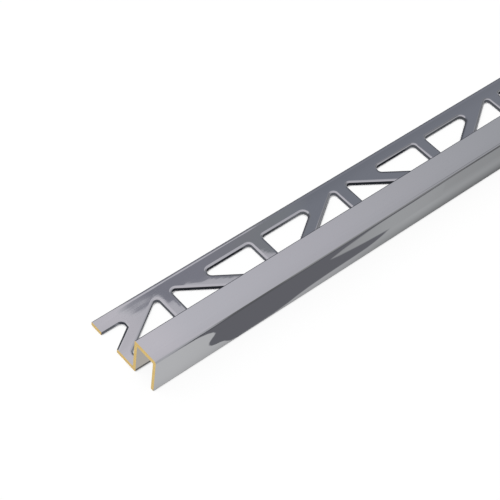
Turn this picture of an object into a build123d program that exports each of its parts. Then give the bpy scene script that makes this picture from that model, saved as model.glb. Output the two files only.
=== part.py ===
from build123d import *
import math
import os

# Square tile edge trim, one length of drawn and punched brass strip.
# The strip runs along X, its cut ends square to it.
# Seen on the end at -X: front lip, top face, riser, then the perforated leg
# that reaches out towards +Y and is bedded under the tiles.
# The origin is in the middle of the base. Millimetres, +Z up.

# Stock length and cross-section
length = 1000.0  # one short stock length
height = 12.5  # tile thickness that the trim is made for
top_wall = 1.5
side_wall = 1.05  # lip and riser
leg_wall = 1.3
face_width = 8.5  # visible top face, front of the lip to back of the riser
leg_width = 17.5  # back of the riser to the free edge of the leg

# Corner radii of the cross-section
front_outer_radius = 0.8  # arris between the top face and the front lip
front_inner_radius = 0.35
riser_top_radius = 0.2
riser_inner_radius = 0.15
riser_foot_radius = 0.4  # under the bend from riser to leg
leg_bend_radius = 0.2  # in the corner that the tile is pushed into
lip_edge_radius = 0.15  # bottom edge of the front lip
leg_edge_radius = 0.15  # free edge of the leg

# Punched pattern of the leg, four openings mirrored about a straight web
pitch = 64.5  # one whole group of four
straight_web = 4.2  # webs square to the length
diagonal_web = 3.8  # webs on the slant, square across
outer_strip = 4.2  # uncut strip along the free edge
inner_strip = 2.1  # uncut strip along the riser
triangle_tip = 1.5  # short side of the triangle, along the outer strip
trapezoid_tip = 2.2  # short side of the trapezoid, along the inner strip
hole_radius = 1.1
trapezoid_point_radius = 1.4  # in the trapezoid's sharp corner
first_web = 20.9  # centre of the first straight web, from the end at -X

# Places across the section
front = -(face_width + leg_width) / 2
riser_back = front + face_width
leg_edge = riser_back + leg_width
underside_of_top = height - top_wall

# Places along the punched pattern, measured from a straight web's centre
hole_inner = riser_back + inner_strip
hole_outer = leg_edge - outer_strip
hole_depth = hole_outer - hole_inner
web_side = straight_web / 2
far_web_side = pitch / 2 - straight_web / 2

# Slant of the diagonal web: it fills what the two short sides leave between
# two straight webs, so depth * cos(a) + diagonal_web = run * sin(a)
slant_run = far_web_side - web_side - triangle_tip - trapezoid_tip
slant = math.atan2(hole_depth, slant_run) + math.asin(diagonal_web / math.hypot(slant_run, hole_depth))
slant_length = hole_depth / math.tan(slant)

triangle_outer = web_side + triangle_tip
triangle_inner = triangle_outer + slant_length
trapezoid_inner = far_web_side - trapezoid_tip
trapezoid_outer = trapezoid_inner - slant_length

# A corner arc may take no more than the short side that it rounds
shortest_tip = min(triangle_tip, trapezoid_tip)
corner_radius = min(hole_radius, 0.98 * shortest_tip / (1 + math.tan(slant / 2)))
point_radius = min(trapezoid_point_radius, 0.98 * slant_length * math.tan(slant / 2))

start = -length / 2
group_count = math.ceil((length - first_web + pitch / 2) / pitch)
group_places = [(start + first_web + n * pitch, 0) for n in range(group_count)]

# One group of four punched openings, drawn about the straight web's centre
with BuildSketch() as punched_group:
    with BuildLine():
        Polyline(
            (web_side, hole_inner),
            (triangle_inner, hole_inner),
            (triangle_outer, hole_outer),
            (web_side, hole_outer),
            close=True,
        )
    make_face()
    with BuildLine():
        Polyline(
            (trapezoid_inner, hole_inner),
            (far_web_side, hole_inner),
            (far_web_side, hole_outer),
            (trapezoid_outer, hole_outer),
            close=True,
        )
    make_face()
    point = (trapezoid_outer, hole_outer, 0)
    fillet(punched_group.vertices().sort_by_distance(point)[1:], corner_radius)
    fillet(punched_group.vertices().sort_by_distance(point)[0], point_radius)
    mirror(about=Plane.YZ)

# The whole trim: section carried along X, then punched through the leg
with BuildPart() as trim_profile:
    with BuildSketch(Plane.YZ.offset(start)) as section:
        with BuildLine():
            FilletPolyline(
                (leg_edge, 0),
                (leg_edge, leg_wall),
                (riser_back, leg_wall),
                (riser_back, height),
                (front, height),
                (front, 0),
                (front + side_wall, 0),
                (front + side_wall, underside_of_top),
                (riser_back - side_wall, underside_of_top),
                (riser_back - side_wall, 0),
                radius=[
                    leg_edge_radius,
                    leg_edge_radius,
                    leg_bend_radius,
                    riser_top_radius,
                    front_outer_radius,
                    lip_edge_radius,
                    lip_edge_radius,
                    front_inner_radius,
                    riser_inner_radius,
                    riser_foot_radius,
                ],
                close=True,
            )
        make_face()
    extrude(amount=length)

    with BuildSketch(Plane.XY):
        with Locations(group_places):
            add(punched_group.sketch)
    extrude(amount=leg_wall, mode=Mode.SUBTRACT)

trim_profile.part.label = "trim_profile"

os.makedirs("parts", exist_ok=True)
export_step(trim_profile.part, "parts/trim_profile.step")
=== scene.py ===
# %% [markdown]
# A square tile edge trim, as it looks when it comes out of the box: brass strip, drawn to
# a section, punched through its leg, plated with bright chrome and sawn to length.
# The CAD solid gives the sizes. This file gives what the eye sees: the soft roll-over
# that the punch leaves round every opening, the mirror of the chrome, the bare yellow
# brass of the saw cut, and the studio that the mirror shows.

# %% The frame
import math

import bmesh
import bpy
import numpy as np
from mathutils import Euler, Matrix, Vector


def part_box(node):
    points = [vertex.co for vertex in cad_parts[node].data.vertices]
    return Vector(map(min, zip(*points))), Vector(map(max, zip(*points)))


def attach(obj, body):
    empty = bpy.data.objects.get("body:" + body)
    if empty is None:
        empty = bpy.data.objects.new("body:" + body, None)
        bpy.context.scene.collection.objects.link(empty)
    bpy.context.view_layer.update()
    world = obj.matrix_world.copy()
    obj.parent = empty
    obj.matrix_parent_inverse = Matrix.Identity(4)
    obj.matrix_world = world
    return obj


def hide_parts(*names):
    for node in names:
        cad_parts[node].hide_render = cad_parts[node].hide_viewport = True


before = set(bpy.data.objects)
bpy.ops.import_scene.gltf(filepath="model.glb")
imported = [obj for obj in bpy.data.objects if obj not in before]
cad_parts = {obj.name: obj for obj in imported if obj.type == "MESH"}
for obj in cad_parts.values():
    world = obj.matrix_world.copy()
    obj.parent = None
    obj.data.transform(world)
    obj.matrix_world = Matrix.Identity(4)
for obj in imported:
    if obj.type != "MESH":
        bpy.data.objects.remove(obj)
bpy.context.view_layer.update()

low, high = (np.array(corner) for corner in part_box("trim_profile"))
MM = 0.001
print("trim, mm:", np.round((high - low) / MM, 2))

# %% [markdown]
# The section. From the front: a lip, the top face, a riser, and a leg that reaches back
# to be bedded under the tiles. Overall length, width and height come from the frame. The
# walls, the corner radii and the punched pattern are the strip's own sizes, given here in
# metres. Every length along the pattern is measured from the middle of a straight web,
# because the pattern mirrors about it.

# %% Sizes of the section
length, width, height = high - low
side_wall = 1.05 * MM  # lip and riser
top_wall = 1.5 * MM
leg_wall = 1.3 * MM
face_width = 8.5 * MM
front, leg_edge = low[1], high[1]
riser_back = front + face_width

front_outer_radius = 0.8 * MM
front_inner_radius = 0.35 * MM
riser_top_radius = 0.3 * MM  # a little more than the solid has, so that its dark line shows
riser_inner_radius = 0.15 * MM
riser_foot_radius = 0.4 * MM
leg_bend_radius = 0.2 * MM
lip_edge_radius = 0.15 * MM
leg_edge_radius = 0.15 * MM
print("leg behind the riser, mm:", round((width - face_width) / MM, 2))

# %% Sizes of the punched pattern
pitch = 64.5 * MM
straight_web = 4.2 * MM
diagonal_web = 3.8 * MM
outer_strip = 4.2 * MM
inner_strip = 2.1 * MM
triangle_tip = 1.5 * MM
trapezoid_tip = 2.2 * MM
hole_radius = 1.1 * MM
point_radius = 1.4 * MM  # in the trapezoid's sharp corner
first_web = 20.9 * MM

hole_inner = riser_back + inner_strip
hole_outer = leg_edge - outer_strip
hole_depth = hole_outer - hole_inner
web_side = straight_web / 2
far_web_side = pitch / 2 - straight_web / 2

# The slant leaves the diagonal web its thickness, measured square across:
# hole_depth * cos(slant) + diagonal_web = slant_run * sin(slant).
slant_run = far_web_side - web_side - triangle_tip - trapezoid_tip
slant = math.atan2(hole_depth, slant_run)
slant += math.asin(diagonal_web / math.hypot(slant_run, hole_depth))
slant_length = hole_depth / math.tan(slant)
print("slant of the diagonal webs, degrees:", round(math.degrees(slant), 2))

triangle = np.array([
    (web_side, hole_inner),
    (web_side + triangle_tip + slant_length, hole_inner),
    (web_side + triangle_tip, hole_outer),
    (web_side, hole_outer),
])
trapezoid = np.array([
    (far_web_side - trapezoid_tip, hole_inner),
    (far_web_side, hole_inner),
    (far_web_side, hole_outer),
    (far_web_side - trapezoid_tip - slant_length, hole_outer),
])

# %% [markdown]
# A punch doesn't leave a sharp edge on the side that it enters from. It drags the skin
# down with it, so the flat sinks in a shallow curve, the roll-over, before the wall of
# the hole begins. On plain steel it hardly shows. Under chrome it does: the curve mirrors
# another part of the room, and every opening gets a bright or a dark rim.
# A bevel modifier would give all edges one width. Here each hole is a stack of rings
# instead. All rings share one set of corner centres and only their radius grows, so the
# roll-over is a formula along the stack.

# %% Rings round an opening
ARC_STEPS = 8  # steps round each corner, even, so that one ring point falls on its middle
ROLL_STEPS = 6
BREAK_STEPS = 2
roll_width = 0.8 * MM  # how far from the wall the flat begins to sink
roll_drop = 0.2 * MM
edge_break = 0.08 * MM  # small round where the wall meets the underside


def corner_fans(corners, radii, steps):
    """Arc centres and unit directions for the rounded corners of a path.

    The two tangent points lie radius / tan(half the angle) along the sides. The centre
    lies on the bisector, radius / sin(half the angle) from the corner. Directions go
    from the first tangent point to the second by spherical interpolation,
    (sin((1 - t) * turn) * first + sin(t * turn) * second) / sin(turn).
    corners holds one more point before the first and after the last rounded corner.
    """
    here, before, after = corners[1:-1], corners[:-2], corners[2:]
    to_before = (before - here) / np.linalg.norm(before - here, axis=1, keepdims=True)
    to_after = (after - here) / np.linalg.norm(after - here, axis=1, keepdims=True)
    angle = np.arccos(np.clip((to_before * to_after).sum(1), -1, 1))[:, None]
    radii = np.broadcast_to(np.asarray(radii, float), len(here))[:, None]
    bisector = to_before + to_after
    bisector /= np.linalg.norm(bisector, axis=1, keepdims=True)
    centres = here + bisector * radii / np.sin(angle / 2)
    first = (here + to_before * radii / np.tan(angle / 2) - centres) / radii
    second = (here + to_after * radii / np.tan(angle / 2) - centres) / radii
    turn = (np.pi - angle)[:, :, None]
    t = np.linspace(0, 1, steps + 1)[None, :, None]
    directions = np.sin((1 - t) * turn) * first[:, None] + np.sin(t * turn) * second[:, None]
    return centres, directions / np.sin(turn), radii


def hole_rings(hole, cell, corner_radii):
    """Grid of points (rings, points round the hole, xyz) from the cell's edge on top,
    over the roll-over and down the wall, to the cell's edge underneath.

    A ring at distance d outside the wall is centre + (radius + d) * direction. Over the
    roll-over, for p from 0 to 90 degrees, d = roll_width * (1 - sin p) and
    z = leg_wall - roll_drop * (1 - cos p). At the underside, for q from 0 to 90 degrees,
    d = edge_break * (1 - cos q) and z = edge_break * (1 - sin q). A point of the cell's
    edge is its corner moved by an equal share of the side before or after it.
    """
    around = np.vstack([hole[-1:], hole, hole[:1]])
    centres, directions, radii = corner_fans(around, corner_radii, ARC_STEPS)
    p = np.linspace(0, np.pi / 2, ROLL_STEPS + 1)
    q = np.linspace(0, np.pi / 2, BREAK_STEPS + 1)
    out = np.concatenate([roll_width * (1 - np.sin(p)), edge_break * (1 - np.cos(q))])
    drop = roll_drop * (1 - np.cos(p))
    level = np.concatenate([[leg_wall], leg_wall - drop, edge_break * (1 - np.sin(q)), [0]])
    reach = radii[None, :, :, None] + out[:, None, None, None]
    rings = centres[None, :, None] + reach * directions[None]

    share = (np.arange(ARC_STEPS + 1) - ARC_STEPS / 2) / (ARC_STEPS + 1)
    after = np.maximum(share, 0)[None, :, None] * (np.roll(cell, -1, 0) - cell)[:, None]
    before = np.maximum(-share, 0)[None, :, None] * (np.roll(cell, 1, 0) - cell)[:, None]
    border = (cell[:, None] + after + before)[None]

    flat = np.concatenate([border, rings, border]).reshape(len(level), -1, 2)
    heights = np.broadcast_to(level[:, None, None], flat.shape[:2] + (1,))
    return np.concatenate([flat, heights], 2)


print("points in a ring:", len(triangle) * (ARC_STEPS + 1))

# %% [markdown]
# The leg is cut into cells, one round each opening, along the middle of every web. Two
# neighbours divide their common side into equal shares, so their points meet and the
# whole leg closes. Half a group is worked out and the other half is its mirror image.

# %% Cells of the leg
inner_seam = riser_back + 0.8 * MM  # beyond the bend at the riser's foot
outer_seam = leg_edge - 1.4 * MM  # short of the bead on the free edge


def diagonal_middle(y):
    """x of the diagonal web's middle line: halfway between the two slanted sides, which
    both move by cot(slant) for each metre across."""
    at_outer = (triangle[2, 0] + trapezoid[3, 0]) / 2
    return at_outer + (hole_outer - y) / math.tan(slant)


triangle_cell = np.array([
    (0, inner_seam),
    (diagonal_middle(inner_seam), inner_seam),
    (diagonal_middle(outer_seam), outer_seam),
    (0, outer_seam),
])
trapezoid_cell = np.array([
    (diagonal_middle(inner_seam), inner_seam),
    (pitch / 2, inner_seam),
    (pitch / 2, outer_seam),
    (diagonal_middle(outer_seam), outer_seam),
])
half_group = np.stack([
    hole_rings(triangle, triangle_cell, [hole_radius] * 4),
    hole_rings(trapezoid, trapezoid_cell, [hole_radius] * 3 + [point_radius]),
])
other_half = half_group * np.array([-1, 1, 1])
group = np.concatenate([half_group, other_half])
group_count = math.ceil((length - first_web + pitch / 2) / pitch)
group_middles = low[0] + first_web + pitch * np.arange(group_count)
shift = np.zeros((group_count, 1, 1, 1, 3))
shift[..., 0] = group_middles[:, None, None, None]
cells = (group[None] + shift).reshape(-1, *group.shape[1:])
print("openings, with those that the saw cuts:", len(cells))

# %% [markdown]
# The rest of the section doesn't change along the length. It is a path in the plane
# across the strip, with an arc at each bend, carried along X. A curve object could be
# extruded for it, but its points wouldn't meet those of the leg. Here its stations are the
# x values of the cells' seam, so that it joins the leg point for point.

# %% Section paths
BEND_STEPS = 6


def rounded_path(corners, radii):
    """Open path through corners with an arc at each inner one: the end points, and
    between them centre + radius * direction for each arc."""
    corners = np.array(corners)
    centres, directions, radii = corner_fans(corners, radii, BEND_STEPS)
    arcs = centres[:, None] + radii[:, :, None] * directions
    return np.vstack([corners[:1], arcs.reshape(-1, 2), corners[-1:]])


channel_path = rounded_path(
    [
        (inner_seam, leg_wall),
        (riser_back, leg_wall),
        (riser_back, height),
        (front, height),
        (front, 0),
        (front + side_wall, 0),
        (front + side_wall, height - top_wall),
        (riser_back - side_wall, height - top_wall),
        (riser_back - side_wall, 0),
        (inner_seam, 0),
    ],
    [
        leg_bend_radius,
        riser_top_radius,
        front_outer_radius,
        lip_edge_radius,
        lip_edge_radius,
        front_inner_radius,
        riser_inner_radius,
        riser_foot_radius,
    ],
)
# Along the free edge the leg's face lifts into a very low bead: over t from 0 to 1 it
# rises by bead_rise * t * t * (3 - 2 * t), then it turns down into the edge's own round.
bead_rise = 0.0175 * MM
bead_width = 0.6 * MM
bead_start = leg_edge - 1.05 * MM
edge_round = 0.25 * MM
t = np.linspace(0, 1, 2 * ROLL_STEPS + 1)
bead = np.stack([bead_start + bead_width * t, leg_wall + bead_rise * t * t * (3 - 2 * t)], 1)
edge_path = np.vstack([
    [(outer_seam, leg_wall)],
    bead[:-1],
    rounded_path(
        [bead[-1], (leg_edge, leg_wall + bead_rise), (leg_edge, 0), (outer_seam, 0)],
        [edge_round, leg_edge_radius],
    ),
])
print("points on the channel's path and on the edge's:", len(channel_path), len(edge_path))


# %% Carried along the strip
def seam_stations(y):
    """x of every cell point on the seam at y: each cell's side there in equal shares."""
    middle = diagonal_middle(y)
    marks = np.array([-pitch / 2, -middle, 0, middle, pitch / 2])
    shares = np.arange(ARC_STEPS + 1) / (ARC_STEPS + 1)
    within = (marks[:-1, None] + np.diff(marks)[:, None] * shares).ravel()
    return np.append((group_middles[:, None] + within).ravel(), group_middles[-1] + pitch / 2)


def carried(path, stations):
    """Grid of points (stations, path points, xyz): the path at each station."""
    grid = np.empty((len(stations), len(path), 3))
    grid[..., 0] = stations[:, None]
    grid[..., 1:] = path[None]
    return grid


channel_grid = carried(channel_path, seam_stations(inner_seam))
edge_grid = carried(edge_path, seam_stations(outer_seam))
print("stations along the strip:", len(channel_grid))

# %% [markdown]
# Grids become one closed skin: quads between neighbouring points, doubles merged at the
# seams, then a cut at each end and a flat face over it. The saw goes through wherever it
# falls, at this end through a trapezoid, so the outer strip and the slanted web end in
# small faces of their own. Those faces are bare brass. A saw cut is a plane, so bisecting
# the skin says what happens better than a boolean would.

# %% One skin, cut to length
merge_distance = 0.001 * MM
cut_tolerance = 0.0001 * MM


def grid_quads(rows, columns, closed):
    """Corner numbers of the quads of one grid, closed round its columns if asked."""
    across = np.arange(columns if closed else columns - 1)
    along = np.arange(rows - 1)[:, None]
    right = (across + 1) % columns
    quads = [along * columns + across, along * columns + right]
    quads += [(along + 1) * columns + right, (along + 1) * columns + across]
    return np.stack(np.broadcast_arrays(*quads), -1).reshape(-1, 4)


def skin(grids):
    """Points and quads of several grids, each given as (points, closed)."""
    points, quads, count = [], [], 0
    for grid, closed in grids:
        points.append(grid.reshape(-1, 3))
        quads.append(grid_quads(*grid.shape[:2], closed) + count)
        count += len(points[-1])
    return np.vstack(points), np.vstack(quads)


points, quads = skin([(cell, True) for cell in cells] + [(channel_grid, False), (edge_grid, False)])
strip_mesh = bpy.data.meshes.new("plated_strip")
strip_mesh.from_pydata(points, [], quads)

body = bmesh.new()
body.from_mesh(strip_mesh)
bmesh.ops.remove_doubles(body, verts=body.verts, dist=merge_distance)
for end, outward in ((low[0], -1), (high[0], 1)):
    bmesh.ops.bisect_plane(
        body,
        geom=body.verts[:] + body.edges[:] + body.faces[:],
        dist=cut_tolerance,
        plane_co=(end, 0, 0),
        plane_no=(outward, 0, 0),
        clear_outer=True,
    )
rims = [edge for edge in body.edges if edge.is_boundary]
sawn = bmesh.ops.holes_fill(body, edges=rims, sides=0)["faces"]
for face in body.faces:
    face.smooth = True
for face in sawn:
    face.material_index = 1
    face.smooth = False
bmesh.ops.recalc_face_normals(body, faces=body.faces)
bmesh.ops.triangulate(body, faces=sawn, quad_method="BEAUTY", ngon_method="BEAUTY")
open_edges = sum(not edge.is_manifold for edge in body.edges)
body.to_mesh(strip_mesh)
body.free()
print("sawn faces:", len(sawn), "edges left open:", open_edges)

# %% [markdown]
# A mirror shows the smallest error of its normals. Blender's own smoothing tilts a flat
# next to a bend by half a step, and chrome turns that into a smear. So each point takes
# the mean of its faces' normals weighted by the square of their area: beside a wide flat
# the flat wins and stays flat, and round a bend the steps still blend. The sawn faces keep
# their own.

# %% Normals weighted by area
def weighted_normals(mesh):
    """For every corner of every face: the sum of area ** 2 * normal over the plated faces
    at its point, brought to length one; on a sawn face, that face's normal."""
    faces = len(mesh.polygons)
    area, normal = np.empty(faces), np.empty(faces * 3)
    size, sawn_face = np.empty(faces, int), np.empty(faces, int)
    corner_point = np.empty(len(mesh.loops), int)
    mesh.polygons.foreach_get("area", area)
    mesh.polygons.foreach_get("normal", normal)
    mesh.polygons.foreach_get("loop_total", size)
    mesh.polygons.foreach_get("material_index", sawn_face)
    mesh.loops.foreach_get("vertex_index", corner_point)
    corner_face = np.repeat(np.arange(faces), size)
    corner_normal = normal.reshape(-1, 3)[corner_face]
    plated = sawn_face[corner_face] == 0
    total = np.zeros((len(mesh.vertices), 3))
    weight = (np.square(area[corner_face] / MM ** 2) * plated)[:, None]
    np.add.at(total, corner_point, corner_normal * weight)
    smooth = total[corner_point]
    smooth /= np.maximum(np.linalg.norm(smooth, axis=1, keepdims=True), 1e-12)
    return np.where(plated[:, None], smooth, corner_normal)


strip_mesh.normals_split_custom_set(weighted_normals(strip_mesh).tolist())
strip = bpy.data.objects.new("plated_strip", strip_mesh)
bpy.context.scene.collection.objects.link(strip)
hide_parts("trim_profile")
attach(strip, "root")
strip_mesh.calc_loop_triangles()
print("triangles:", len(strip_mesh.loop_triangles))

# %% [markdown]
# Colours are written as they look on a screen and turned to light values by one function.
# One more small function adds a node with its settings and links.

# %% Helpers for materials
def light_values(hex_code):
    """sRGB hex to linear: c / 12.92 below 0.04045, else ((c + 0.055) / 1.055) ** 2.4."""
    c = np.array([int(hex_code[i:i + 2], 16) for i in (0, 2, 4)]) / 255
    linear = np.where(c <= 0.04045, c / 12.92, ((c + 0.055) / 1.055) ** 2.4)
    return (*linear.tolist(), 1.0)


def add_node(tree, kind, inputs=None, **settings):
    """Adds a node. inputs maps a socket to a value, or to another node's output."""
    node = tree.nodes.new(kind)
    for name, value in settings.items():
        setattr(node, name, value)
    for name, value in (inputs or {}).items():
        if isinstance(value, bpy.types.NodeSocket):
            tree.links.new(value, node.inputs[name])
        else:
            node.inputs[name].default_value = value
    return node


def new_material(name):
    """A material with an empty node tree, and the tree."""
    material = bpy.data.materials.new(name)
    material.use_nodes = True
    material.node_tree.nodes.clear()
    return material, material.node_tree


print("light of a middle grey:", round(light_values("808080")[0], 3))

# %% [markdown]
# Bright chrome plate. It is a thin hard mirror over nickel: it returns a little over half
# of the light, almost without colour, and blurs hardly at all. What it mirrors isn't quite
# straight, because under the plate the strip keeps fine lines along its length from
# drawing and polishing, and a very shallow wave. A scanned texture would repeat along a
# metre. Noise in object coordinates doesn't, and it needs no unwrapping: stretched along
# the strip it makes the lines, and almost round it makes the wave.

# %% Chrome plate
drawn_lines = (110, 1500, 1500)  # in each metre: a line is 9 mm long and 0.7 mm wide
drawn_depth = 0.0012 * MM
wave_swells = (25, 90, 90)  # in each metre: a swell is 40 mm long and 11 mm wide
wave_depth = 0.008 * MM


def chrome_plate():
    material, tree = new_material("bright_chrome_plate")
    place = add_node(tree, "ShaderNodeTexCoord").outputs["Object"]
    drawn = add_node(tree, "ShaderNodeMapping", {"Vector": place, "Scale": drawn_lines})
    lines = add_node(
        tree,
        "ShaderNodeTexNoise",
        {"Vector": drawn.outputs["Vector"], "Scale": 1.0, "Detail": 0.5},
    )
    shallow = add_node(tree, "ShaderNodeMapping", {"Vector": place, "Scale": wave_swells})
    wave = add_node(
        tree,
        "ShaderNodeTexNoise",
        {"Vector": shallow.outputs["Vector"], "Scale": 1.0, "Detail": 1.0},
    )
    lines_bump = add_node(
        tree,
        "ShaderNodeBump",
        {"Height": lines.outputs["Fac"], "Strength": 1.0, "Distance": drawn_depth},
    )
    wave_bump = add_node(
        tree,
        "ShaderNodeBump",
        {
            "Height": wave.outputs["Fac"],
            "Strength": 1.0,
            "Distance": wave_depth,
            "Normal": lines_bump.outputs["Normal"],
        },
    )
    blur = add_node(
        tree, "ShaderNodeMapRange", {"Value": lines.outputs["Fac"], "To Min": 0.02, "To Max": 0.05}
    )
    plate = add_node(
        tree,
        "ShaderNodeBsdfPrincipled",
        {
            "Base Color": light_values("C5C6C8"),
            "Metallic": 1.0,
            "Roughness": blur.outputs["Result"],
            "Normal": wave_bump.outputs["Normal"],
        },
    )
    add_node(tree, "ShaderNodeOutputMaterial", {"Surface": plate.outputs["BSDF"]})
    return material


strip_mesh.materials.append(chrome_plate())
print("plate:", strip_mesh.materials[0].name)

# %% [markdown]
# Sawn brass. The cut ends are bare: a warm yellow metal, dulled by the blade, with saw
# lines that cross the strip. The same noise, stretched across the strip, makes them. It
# carries tone as well as relief, because the ends are only a few pixels wide. The lines
# are a little coarser than a fine metal blade leaves them, or they would be lost.

# %% Sawn brass
saw_lines = (1, 300, 4000)  # in each metre: a line is 3 mm long and 0.25 mm high
saw_depth = 0.02 * MM


def sawn_brass():
    material, tree = new_material("sawn_brass")
    place = add_node(tree, "ShaderNodeTexCoord").outputs["Object"]
    cut = add_node(tree, "ShaderNodeMapping", {"Vector": place, "Scale": saw_lines})
    lines = add_node(
        tree,
        "ShaderNodeTexNoise",
        {"Vector": cut.outputs["Vector"], "Scale": 1.0, "Detail": 2.0},
    )
    tint = add_node(
        tree,
        "ShaderNodeMix",
        {
            "Factor": lines.outputs["Fac"],
            "A": light_values("CBA658"),
            "B": light_values("E0C67A"),
        },
        data_type="RGBA",
    )
    bump = add_node(
        tree,
        "ShaderNodeBump",
        {"Height": lines.outputs["Fac"], "Strength": 0.5, "Distance": saw_depth},
    )
    brass = add_node(
        tree,
        "ShaderNodeBsdfPrincipled",
        {
            "Base Color": tint.outputs["Result"],
            "Metallic": 1.0,
            "Roughness": 0.4,
            "Normal": bump.outputs["Normal"],
        },
    )
    add_node(tree, "ShaderNodeOutputMaterial", {"Surface": brass.outputs["BSDF"]})
    return material


strip_mesh.materials.append(sawn_brass())
print("cut ends:", strip_mesh.materials[1].name)

# %% [markdown]
# The camera stands left of the sawn end and above it, on the side of the front lip, and
# leans a little to its left, as the photographer's did. Its place, turn and lens were
# fitted to the straight edges in the picture. Set by eye it would do for a matt object,
# but a mirror shows something else for every degree that the camera is off.

# %% Camera
camera_place = np.array([-0.646145, -0.171071, 0.320183])
camera_turn = (39.3133, -5.6996, -40.8150)  # degrees
pixels_wide = 500
focal_pixels = 1509.28
sensor_width = 36  # mm


def place_camera():
    camera = bpy.data.objects.new("camera", bpy.data.cameras.new("camera"))
    camera.data.sensor_width = sensor_width
    camera.data.lens = focal_pixels / pixels_wide * camera.data.sensor_width
    camera.location = camera_place
    camera.rotation_euler = Euler(np.radians(camera_turn))
    camera.data.clip_start, camera.data.clip_end = 0.01, 50
    bpy.context.scene.collection.objects.link(camera)
    bpy.context.scene.camera = camera
    print("lens, mm:", round(camera.data.lens, 1))


place_camera()
bpy.context.scene.view_settings.view_transform = "Standard"

# %% [markdown]
# Chrome has no colour of its own to photograph: the picture shows the room in it. In the
# real picture the top face shows a pale ceiling that darkens along the strip, the leg
# shows a grey screen behind the bench, and the front face shows the bench in front of it,
# with something dark lying there. A picture of a room wrapped round the scene would have
# to be an image, and it would look the same from every point of a strip a metre long.
# So the room is built, as a studio does it, from plain cards, but no lamp lights them:
# each glows with its own painted tones of light and shade, which the mirror shows. A card
# is seen by glossy rays alone. It is no part of the object, throws no shadow and stays out
# of the picture.
# Beyond the part of the strip that the picture shows, the cards turn pale, or the rest of
# the metre would look black from every other side.
#
# Where does a card's edge have to be? The sight line from the camera to a point on the
# strip is flipped along the face's normal, and followed to the plane of the card. So
# every edge below is written as the place on the strip where it should be seen, in
# millimetres, with x counted from the sawn end.

# %% From a place on the strip to a place on a card
X, Y, Z = 0, 1, 2  # numbers of the axes


def landing(spots, flipped, across, at):
    """Where the mirrored sight lines reach a plane: the line from the camera to each
    spot has its sign changed along axis `flipped`, and runs on from the spot until its
    coordinate `across` is `at`."""
    sight = spots - camera_place
    sight[..., flipped] *= -1
    steps = (at - spots[..., across]) / sight[..., across]
    return spots + steps[..., None] * sight


def on_top(x, y):
    return np.array([low[0] + x * MM, y * MM, high[2]])


def on_leg(x, y):
    return np.array([low[0] + x * MM, y * MM, leg_wall])


def on_front(x, z):
    return np.array([low[0] + x * MM, low[1], z * MM])


sight_length = np.linalg.norm(on_top(0, 0) - camera_place)
print("from the camera to the sawn end, mm:", round(sight_length / MM))


# %% Cards
def card_glow():
    """Light given off by a card: the tone at each of its points, blended between them."""
    material, tree = new_material("card_glow")
    tone = add_node(tree, "ShaderNodeAttribute", attribute_name="tone")
    glow = add_node(tree, "ShaderNodeEmission", {"Color": tone.outputs["Color"], "Strength": 1.0})
    add_node(tree, "ShaderNodeOutputMaterial", {"Surface": glow.outputs["Emission"]})
    return material


glow_material = card_glow()


def tone_row(*tones):
    """Light values of several tones, one row of an array for each."""
    return np.array([light_values(tone) for tone in tones])


def split_stops(stops):
    """Places and light values of stops (place, tone)."""
    places, tones = zip(*stops)
    return places, tone_row(*tones)


def blended(stops, x):
    """Light values at each x: the tones of stops (x, tone), blended between them."""
    places, light = split_stops(stops)
    return np.stack([np.interp(x, places, channel) for channel in light.T], -1)


def studio_card(name, rows, light):
    """A card: a grid of points (rows, points in a row, xyz), and light values that are
    spread over it: one for the card, one for each point in a row, or one for each point."""
    points = np.array(rows)
    light = np.broadcast_to(light, points.shape[:2] + (4,))
    mesh = bpy.data.meshes.new(name)
    mesh.from_pydata(points.reshape(-1, 3), [], grid_quads(*points.shape[:2], False))
    mesh.attributes.new("tone", "FLOAT_COLOR", "POINT").data.foreach_set("color", light.ravel())
    mesh.materials.append(glow_material)
    card = bpy.data.objects.new(name, mesh)
    card.visible_camera = card.visible_diffuse = card.visible_shadow = False
    card.visible_transmission = card.visible_volume_scatter = False
    bpy.context.scene.collection.objects.link(card)
    print("card:", name, "rows and points in a row:", *points.shape[:2])


# %% [markdown]
# The ceiling: a pale panel 0.6 m up, brightest over the sawn end. Its rows run along the
# strip. The leg looks at it too, beside the sawn end, and sees one band that is a tenth
# darker. The panel loses a little light where the top face bends into the arris. Far
# along, its near side is dim: only the roll-overs at the far openings look there, and
# their bright rims are narrower for it.

# %% Ceiling panel
ceiling = 600 * MM
along_top = [
    (-300, "EFEBF2"), (5, "EFEBF2"), (15, "E6E4EB"), (65, "D9D7DE"),
    (77, "D5D4DA"), (87, "D2D1D7"), (135, "C3C4C9"), (1300, "B7B8BD"),
]
near_stops, far_stops = 5, 3  # of the eight above
top_x, top_light = split_stops(along_top)
ceiling_x = [landing(on_top(x, -8), Z, Z, ceiling)[X] for x in top_x]
over_face = landing(on_top(0, -9.5), Z, Z, ceiling)[Y] / MM
over_arris = landing(on_top(0, -12.5), Z, Z, ceiling)[Y] / MM
dim = 0.5  # what the far openings' roll-overs get
ceiling_shares = [  # (y, share of the light at the near stops, and at the far ones)
    (450, 1.0, 1.0),
    (358, 1.0, 1.0),
    (350, 0.955, 0.955),
    (338, 0.905, 0.905),
    (326, 0.9, 0.9),
    (317, 1.0, 1.0),
    (over_face, 1.0, 1.0),
    (over_arris, 0.95, 0.95),
    (over_arris - 30, 0.95, dim),
    (110, 0.93, dim),
    (30, 0.93, 0.85),
    (-1200, 0.9, 0.9),
]
ceiling_rows = [[(x, y * MM, ceiling) for x in ceiling_x] for y, _, _ in ceiling_shares]
panel_shares = [[near] * near_stops + [far] * far_stops for _, near, far in ceiling_shares]
studio_card("ceiling_panel", ceiling_rows, np.array(panel_shares)[..., None] * top_light)

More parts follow.
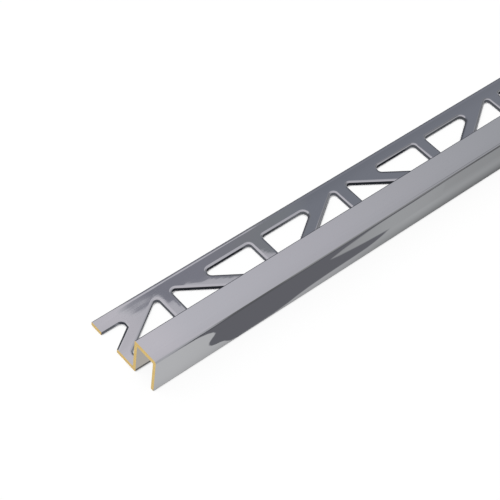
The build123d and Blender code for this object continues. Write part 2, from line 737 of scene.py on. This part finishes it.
# %% [markdown]
# The screen behind: a grey card 100 mm behind the trim, dark at its foot. Its upper edge
# is ragged: a slope that starts steep beside the first straight web and reaches the
# riser's foot some 60 mm along. The rounded edges that turn away from the camera look at
# the foot, and so each shows a thin dark line.

# %% Screen behind
screen = 100 * MM
middle_of_holes = 10  # y on the leg at which the tones below are read
screen_tones = [
    (12, "9A9AA5"), (35, "9A9AA5"), (50, "98999F"), (62, "979A9F"),
    (75, "92959F"), (175, "92959F"), (240, "C8C9CE"),
]
foot_tones = [(12, "2E3036"), (175, "2E3036"), (240, "A0A2A8")]
left_light = tone_row("606268")[0]
left_foot = np.array([(-600, 100, 30), (-480, 100, 100), (-445, 100, 130)]) * MM
slope = [  # (x, y) on the leg
    (12.5, 12.9), (18, 12.9), (18, 10.2), (18.8, 9.6), (19.5, 9.2), (19.9, 8.5), (19.5, 6.7),
    (19.5, 6.0), (20.0, 5.6), (21.6, 5.7), (22.05, 5.6), (22.2, 4.6), (22.35, 3.0),
    (27.75, 8.15), (28.2, 7.85), (29.2, 7.2), (30.2, 6.5), (31.1, 6.05), (32.5, 5.95),
    (34.5, 6.0), (36, 4.95), (37.6, 4.2), (39.6, 3.2), (42.3, 2.2), (47, 1.9), (50.2, 5.2),
    (51.2, 4.6), (51.9, 3.85), (52.6, 3.2), (53.4, 2.65), (55, 2.3), (56, 2.1), (58, 0.5),
    (60, -2), (70, -2), (158, -2), (215, -2), (1400, -2),
]


def screen_place(spots, plane=screen):
    return np.array([landing(on_leg(x, y), Z, Y, plane) for x, y in spots])


def screen_light(stops, points):
    """Light of the screen at points on it, from stops given where the leg shows them."""
    places, tones = zip(*stops)
    seen_at = screen_place([(x, middle_of_holes) for x in places])[:, X]
    return blended(list(zip(seen_at, tones)), points[:, X])


outline = np.vstack([left_foot, screen_place(slope)])
face_light = screen_light(screen_tones, outline)
face_light[:len(left_foot)] = left_light
foot_light = screen_light(foot_tones, outline)
half_way = 0.65 * foot_light + 0.35 * face_light
screen_rows = [outline * (1, 1, lift) for lift in (0, 0.5, 0.85, 1)]
studio_card("screen", screen_rows, [foot_light, half_way, face_light, face_light])

# %% [markdown]
# The near corner of the screen is torn into feathers, which let more and more of the
# ceiling through. Real feathers would be see-through cards, and cost the render a ray for
# each. Here they are opaque and hang a little in front of the screen: each is a row of a
# card, and along the row the tone goes from the ceiling's to the screen's.
#
# The low bead along the free edge looks over the slope at the ceiling for as long as the
# slope is low enough, and so shows a light line. A lath over the slope, too high for the
# flat of the leg, ends that line half way.

# %% Feathers and lath
hanging = screen - 2 * MM
near_light = tone_row("9A9AA5")[0]
ceiling_light = tone_row("E8E6EC")[0]
feathers = [  # (y on the leg, x of its start, share of the screen's tone at 1/3 and at 2/3)
    (12.9, 12, 0.5, 0.8), (12.3, 9.8, 0.5, 0.75), (11.7, 7.3, 0.72, 0.82),
    (11.2, 6.9, 0.75, 0.82), (10.8, 7.3, 0.7, 0.82), (10.4, 8.0, 0.6, 0.5),
    (10.0, 8.4, 0.52, 0.37), (9.7, 9, 0.5, 0.4),
]
loose_strip = [
    (9.55, 10.0, 0.5, 0.55), (9.2, 8.6, 0.85, 0.95), (8.8, 9.0, 0.85, 0.9),
    (8.45, 9.6, 0.5, 0.6), (8.1, 10.0, 0.5, 0.55), (7.7, 11, 0.2, 0.2),
]


def feather_card(name, torn, end):
    """Card of torn rows that all end at x = end. A point at share s of its row has the
    tone ceiling + share * (screen - ceiling), by the row's two shares at s = 1/3 and 2/3,
    none at its start and the whole at its end."""
    rows, light = [], []
    for y, start, third, two_thirds in torn:
        stops = start + (end - start) * np.array([0, 1 / 3, 2 / 3, 1])
        rows.append(screen_place([(x, y) for x in stops], hanging))
        shares = np.array([0, third, two_thirds, 1])[:, None]
        light.append(ceiling_light + shares * (near_light - ceiling_light))
    studio_card(name, rows, light)


feather_card("screen_feathers", feathers, 18.2)
feather_card("loose_strip", loose_strip, 17.5)

lath_x, lath_y = (50, 54, 70, 100, 1400), (1.1, -3)
studio_card(
    "screen_lath",
    [screen_place([(x, y) for x in lath_x], hanging) for y in lath_y],
    np.array([ceiling_light] + [near_light] * 4),
)

# %% [markdown]
# The flag in front: a dark card at the photographer's side, and the dark floor between it
# and the strip. The rounded arris between top and front face shows them as the thin dark
# line that parts the two. The line only starts a little way in from the sawn end.

# %% Flag in front
flag = -400  # y
flag_levels = (0, 330, 460)  # foot, end of the dark, upper edge
flag_stops = [
    (-100, "D8D8DC"), (14, "CCCCD0"), (20, "747474"), (36, "747474"), (44, "A8A8A8"),
    (76, "A8A8A8"), (92, "9C9C9C"), (110, "787878"), (165, "787878"), (230, "B8B8BA"),
    (1100, "B8B8BA"),
]


def round_the_arris(x, y, z):
    """The place at (y, z) that the arris shows at x. Its normals lie across the strip, so
    a sight line keeps its share along the strip whichever way the arris turns it."""
    sight = on_front(x, height / MM) - camera_place
    across = math.hypot(y * MM - low[1], z * MM - high[2])
    return low[0] + x * MM + sight[0] / math.hypot(sight[1], sight[2]) * across, y * MM, z * MM


flag_x, flag_light = split_stops(flag_stops)
above_flag = tone_row(*["D8D8DC"] * len(flag_x))
studio_card(
    "front_flag",
    [[round_the_arris(x, flag, z) for x in flag_x] for z in flag_levels],
    np.array([flag_light, flag_light, above_flag]),
)

# %% [markdown]
# The bench: what the strip stands on, as its mirror sees it. It is black under the leg,
# so the walls of the holes are black, apart from a few paler patches that some of their
# corners show. A card of its own lies in the opening that the saw cut, and one beyond the
# holes, where the round of the free edge looks. In the channel the bench is warm grey.
# Where the riser and the lip stand on it, narrow dark strips are a painted contact shadow.
# The cards lie a few hundredths of a millimetre over the floor, and where two overlap the
# higher one shows. They are so close under the strip that their own places are given, with
# the sawn end at x = -500.

# %% Bench under the strip
bench = -0.03 * MM
sheet_level = -0.02 * MM
contact_shadow_level = -0.01 * MM
whole_strip = (-500, 520)
past_holes = hole_outer / MM + 1
leg_stops = [
    (-500, "A2A4AA"), (-494, "8A8C92"), (-489, "5A5C62"), (-484, "303238"), (-482.5, "6A6C72"),
    (-480, "6A6C72"), (-478, "303238"), (-451.5, "303238"), (-450.2, "72747A"),
    (-448.6, "72747A"), (-446, "404248"), (-440, "4E5054"), (-431, "85878C"), (-427, "4E5054"),
    (-421, "4A4C52"), (-419, "6E7076"), (-416, "6E7076"), (-413, "303238"), (-388, "303238"),
    (-386.5, "6A6C72"), (-384, "6A6C72"), (-380, "606266"), (-364, "606266"), (-360, "303238"),
    (-355, "303238"), (-354, "6A6C72"), (-351, "6A6C72"), (-349, "303238"), (-335, "303238"),
    (-270, "6A6C70"), (520, "6A6C70"),
]
notch_stops = [
    (-500, "74767C"), (-495.4, "74767C"), (-494.9, "96989E"), (-494.3, "96989E"),
    (-493.9, "50525A"), (-492.5, "50525A"), (-491.5, "6A6C70"),
]
edge_stops = [(-500, "303238"), (-360, "303238"), (-310, "A0A2A8")]


def floor_card(name, stops, y_places, level):
    """Card on the bench: its stops (x, tone) along the strip, between two places in y."""
    x_places, light = split_stops(stops)
    studio_card(name, [[(x * MM, y * MM, level) for x in x_places] for y in y_places], light)


floor_card("leg_ground", leg_stops, (riser_back / MM - 0.5, past_holes), bench)
floor_card("notch_ground", notch_stops, (7, past_holes), sheet_level)
floor_card("edge_ground", edge_stops, (past_holes, 100), bench)
# The two dark strips where the riser and the lip stand on the bench are painted contact shadow.
for name, tone, y_places, level in (
    ("channel_ground", "D5CFC6", (-12.6, -6.1), bench),
    ("riser_contact_shadow", "787674", (-6.1, -4.8), bench),
    ("lip_contact_shadow", "3C3C3E", (-13.1, -12.6), contact_shadow_level),
):
    floor_card(name, [(x, tone) for x in whole_strip], y_places, level)

# %% [markdown]
# In front of the strip the bench begins pale. Close to the strip it is always darker,
# because there the strip keeps the light from it: up the front face the shade falls off
# as exp(-z / shade_reach). Far along, a light band lies across the bench.

# %% Bench in front
front_stops = [  # (x, tone of the bench, share of it that is left at the strip's foot)
    (-60, "E0E0E1", 0.88), (6, "DDDDDE", 0.86), (16, "D9D9DA", 0.8), (62, "CCCCCE", 0.78),
    (80, "BEBFC0", 0.66), (95, "BCBDBE", 0.5), (110, "B3B4B5", 0.45), (130, "AFB0B1", 0.35),
    (1100, "AFB0B1", 0.35),
]
front_tones = [(x, tone) for x, tone, _ in front_stops]
foot_share = np.array([share for _, _, share in front_stops])
front_z = np.array([-1, 0.4, 1, 2, 3, 4, 5, 6, 7, 8, 30, 70])  # heights on the front face
shade_reach = 2.0  # mm
band_middle, band_half, band_top = 4.6, 1.7, 7.5
band_lift = np.array([0, 0, 0, 0, 0.04, 0.12, 0.13, 0.13, 0.13])  # at each of the stops


def bench_edge(spots, level=bench):
    return np.array([landing(on_front(x, z), Y, Z, level) for x, z in spots])


def bench_light(x):
    """Light of the bench, away from the strip's own shade, as the front shows it at x."""
    return blended(front_tones, x)


front_x, front_light = split_stops(front_tones)
front_shares = 1 - (1 - foot_share) * np.exp(-np.maximum(front_z, 0)[:, None] / shade_reach)
band = np.exp(-(((front_z - band_middle) / band_half) ** 2)) - 0.25 * (front_z > band_top)
front_shares *= 1 + band_lift * band[:, None]
studio_card(
    "front_ground",
    [bench_edge([(x, z) for x in front_x]) for z in front_z],
    front_shares[..., None] * front_light,
)

# %% [markdown]
# On the bench lies a dark sheet with a ragged near end. Its edges are blurred: a row lies
# `soft` outside each edge and has the bench's tone, and one lies as far inside and has
# the sheet's own. Farther along, each column of the sheet is its foot, the top of its
# tongue, and the edge of the part beyond, with a pale wedge between the last two.

# %% Dark sheet
soft = 0.3
sheet_light = tone_row("78787E")[0]
sheet_end = [  # (height on the front face, where the sheet ends there)
    (20, 9), (12.2, 9), (11.9, 12), (11.4, 14.5), (10.7, 17), (9.8, 18.9), (8.8, 19.7),
    (7.9, 19.3), (6.9, 18.4), (6.0, 17.9), (4.9, 18.0), (3.9, 18.9), (3.3, 20.5), (3.0, 22.0),
    (2.4, 23.4), (1.5, 24.4), (0.7, 25.6), (0.2, 28),
]
inside_end = 30  # x where the end's card is all sheet
end_rows = [[(x - soft, z), (x + soft, z), (inside_end, z)] for z, x in sheet_end]
studio_card(
    "dark_sheet_end",
    [bench_edge(spots, sheet_level) for spots in end_rows],
    [bench_light(16), sheet_light, sheet_light],
)
sheet_columns = [  # (x, foot, top of the tongue, edge of the part beyond)
    (29.5, 0.2, 9, 9), (41, 0.35, 9, 9), (46, 1.0, 9, 9), (49.2, 1.7, 9, 9), (53, 2.3, 9, 9),
    (59.8, 2.8, 9.3, 9.3), (61.0, 2.85, 8.95, 9.45), (61.8, 2.85, 8.75, 9.6),
    (62.6, 2.9, 8.55, 9.75), (64, 2.95, 8.25, 10.1), (66, 3.0, 7.95, 10.4),
    (70, 3.1, 7.3, 10.9), (75, 3.35, 6.6, 11.4), (78, 3.9, 6.3, 11.7), (81, 4.8, 6.0, 11.9),
    (83.6, 5.7, 5.7, 12.0), (92, 5.7, 5.7, 12.3), (98, 5.7, 5.7, 15), (104, 5.7, 5.7, 19),
]
sheet_top = 20
wedge_reach, wedge_share = (62, 82), (0.74, 1)  # the wedge gains light from its tip on
sheet_rows, sheet_tones = [], []
for x, foot, top, beyond in sheet_columns:
    in_foot, in_wedge = min(soft, (top - foot) / 2), min(soft, (beyond - top) / 2)
    outside = bench_light(x)
    wedge = outside * np.interp(x, wedge_reach, wedge_share) if in_wedge else sheet_light
    tongue = sheet_light if in_foot else outside
    levels = [foot - in_foot, foot + in_foot, top - in_foot, top + in_wedge]
    levels += [beyond - in_wedge, beyond + in_foot, sheet_top]
    sheet_rows.append(bench_edge([(x, z) for z in levels], sheet_level))
    sheet_tones.append([outside, tongue, tongue, wedge, wedge, sheet_light, sheet_light])
studio_card("dark_sheet", sheet_rows, sheet_tones)

# %% [markdown]
# Between the sheet and the flag the bench is dark too. The arris shows its near edge as
# the foot of its dark line.

# %% Dark bench before the flag
line_stops = [  # (x, y of the near edge, tone)
    (-100, -23, "D8D8DC"), (2, -23, "CCCCD0"), (7, -23, "A4A4A9"), (11, -23, "6C6C72"),
    (90, -23, "75757B"), (104, -40, "75757B"), (165, -40, "75757B"), (230, -40, "B0B0B4"),
    (1100, -40, "B0B0B4"),
]
studio_card(
    "far_sheet",
    [
        [round_the_arris(x, y, sheet_level / MM) for x, y, _ in line_stops],
        [round_the_arris(x, flag, sheet_level / MM) for x, _, _ in line_stops],
    ],
    tone_row(*[tone for _, _, tone in line_stops]),
)

# %% [markdown]
# The floor is white and the picture has no horizon. Lamps alone would leave it grey and
# uneven, or else burn out the strip. So to the camera and to the mirror the floor mostly
# glows at strength 1, which is white whatever the lamp does. The rest of it is a plain
# diffuse white that takes the lamp's light, and so keeps the strip's shadow. That rest
# grows where the strip shuts the floor in, within about a millimetre of it, and sooner
# under the leg than in front of it.

# %% Floor
floor_reach = 8.0
floor_drop = 0.05 * MM  # below the strip and the cards
shut_in_reach = 1.2 * MM
shut_in_at, shut_in_under_leg, open_at = 0.3, 0.55, 0.68  # share of the sky that is free
most_glow = 0.92


def lit_share(tree):
    """1 for camera, glossy and transmission rays, 0 for all others."""
    path = add_node(tree, "ShaderNodeLightPath").outputs
    shown = add_node(
        tree,
        "ShaderNodeMath",
        {0: path["Is Camera Ray"], 1: path["Is Glossy Ray"]},
        operation="ADD",
    )
    return add_node(
        tree,
        "ShaderNodeMath",
        {0: shown.outputs[0], 1: path["Is Transmission Ray"]},
        operation="ADD",
        use_clamp=True,
    ).outputs[0]


def white_floor():
    material, tree = new_material("white_floor")
    rough = add_node(tree, "ShaderNodeBsdfDiffuse", {"Color": light_values("FAFAFA")})
    glow = add_node(
        tree, "ShaderNodeEmission", {"Color": light_values("FFFFFF"), "Strength": 1.0}
    )
    place = add_node(tree, "ShaderNodeTexCoord").outputs["Object"]
    across = add_node(tree, "ShaderNodeSeparateXYZ", {"Vector": place}).outputs["Y"]
    enclosed = add_node(tree, "ShaderNodeAmbientOcclusion", {"Distance": shut_in_reach})
    under_leg = add_node(
        tree,
        "ShaderNodeMapRange",
        {
            "Value": across,
            "From Min": riser_back - 0.5 * MM,
            "From Max": riser_back,
            "To Min": shut_in_at,
            "To Max": shut_in_under_leg,
        },
    )
    open_share = add_node(
        tree,
        "ShaderNodeMapRange",
        {
            "Value": enclosed.outputs["AO"],
            "From Min": under_leg.outputs["Result"],
            "From Max": open_at,
            "To Max": most_glow,
        },
    )
    glowing = add_node(
        tree,
        "ShaderNodeMath",
        {0: lit_share(tree), 1: open_share.outputs["Result"]},
        operation="MULTIPLY",
    )
    mixed = add_node(
        tree,
        "ShaderNodeMixShader",
        {0: glowing.outputs[0], 1: rough.outputs["BSDF"], 2: glow.outputs["Emission"]},
    )
    add_node(tree, "ShaderNodeOutputMaterial", {"Surface": mixed.outputs[0]})
    return material


def plain_floor():
    signs = ((-1, -1), (1, -1), (1, 1), (-1, 1))
    corners = [(x * floor_reach, y * floor_reach, -floor_drop) for x, y in signs]
    mesh = bpy.data.meshes.new("floor")
    mesh.from_pydata(corners, [], [(0, 1, 2, 3)])
    mesh.materials.append(white_floor())
    floor = bpy.data.objects.new("floor", mesh)
    bpy.context.scene.collection.objects.link(floor)
    print("floor, m across:", 2 * floor_reach)


plain_floor()

# %% [markdown]
# The world is plain white: at strength 1 to the camera and the mirror, and a little less
# where it lights the floor. One large soft lamp, up on the left, gives the strip its
# shadow. The mirror doesn't see it, because a square of light in the chrome would be one
# more thing that the picture doesn't show.

# %% World and lamp
world_light = 0.8
lamp_size = 1.2  # m
lamp_power = 12  # W
lamp_place = (-0.9, 0.5, 1.3)
lamp_turn = (-25, -25, 0)  # degrees


def white_world():
    world = bpy.data.worlds.new("white_studio")
    bpy.context.scene.world = world
    world.use_nodes = True
    world.node_tree.nodes.clear()
    tree = world.node_tree
    level = add_node(
        tree,
        "ShaderNodeMapRange",
        {"Value": lit_share(tree), "To Min": world_light, "To Max": 1.0},
    )
    glow = add_node(
        tree,
        "ShaderNodeBackground",
        {"Color": light_values("FFFFFF"), "Strength": level.outputs["Result"]},
    )
    add_node(tree, "ShaderNodeOutputWorld", {"Surface": glow.outputs["Background"]})


def soft_lamp():
    lamp = bpy.data.objects.new("soft_lamp", bpy.data.lights.new("soft_lamp", "AREA"))
    lamp.data.size = lamp_size
    lamp.data.energy = lamp_power
    lamp.location = lamp_place
    lamp.rotation_euler = Euler(np.radians(lamp_turn))
    lamp.visible_glossy = False
    bpy.context.scene.collection.objects.link(lamp)
    print("lamp, W:", lamp.data.energy)


white_world()
soft_lamp()
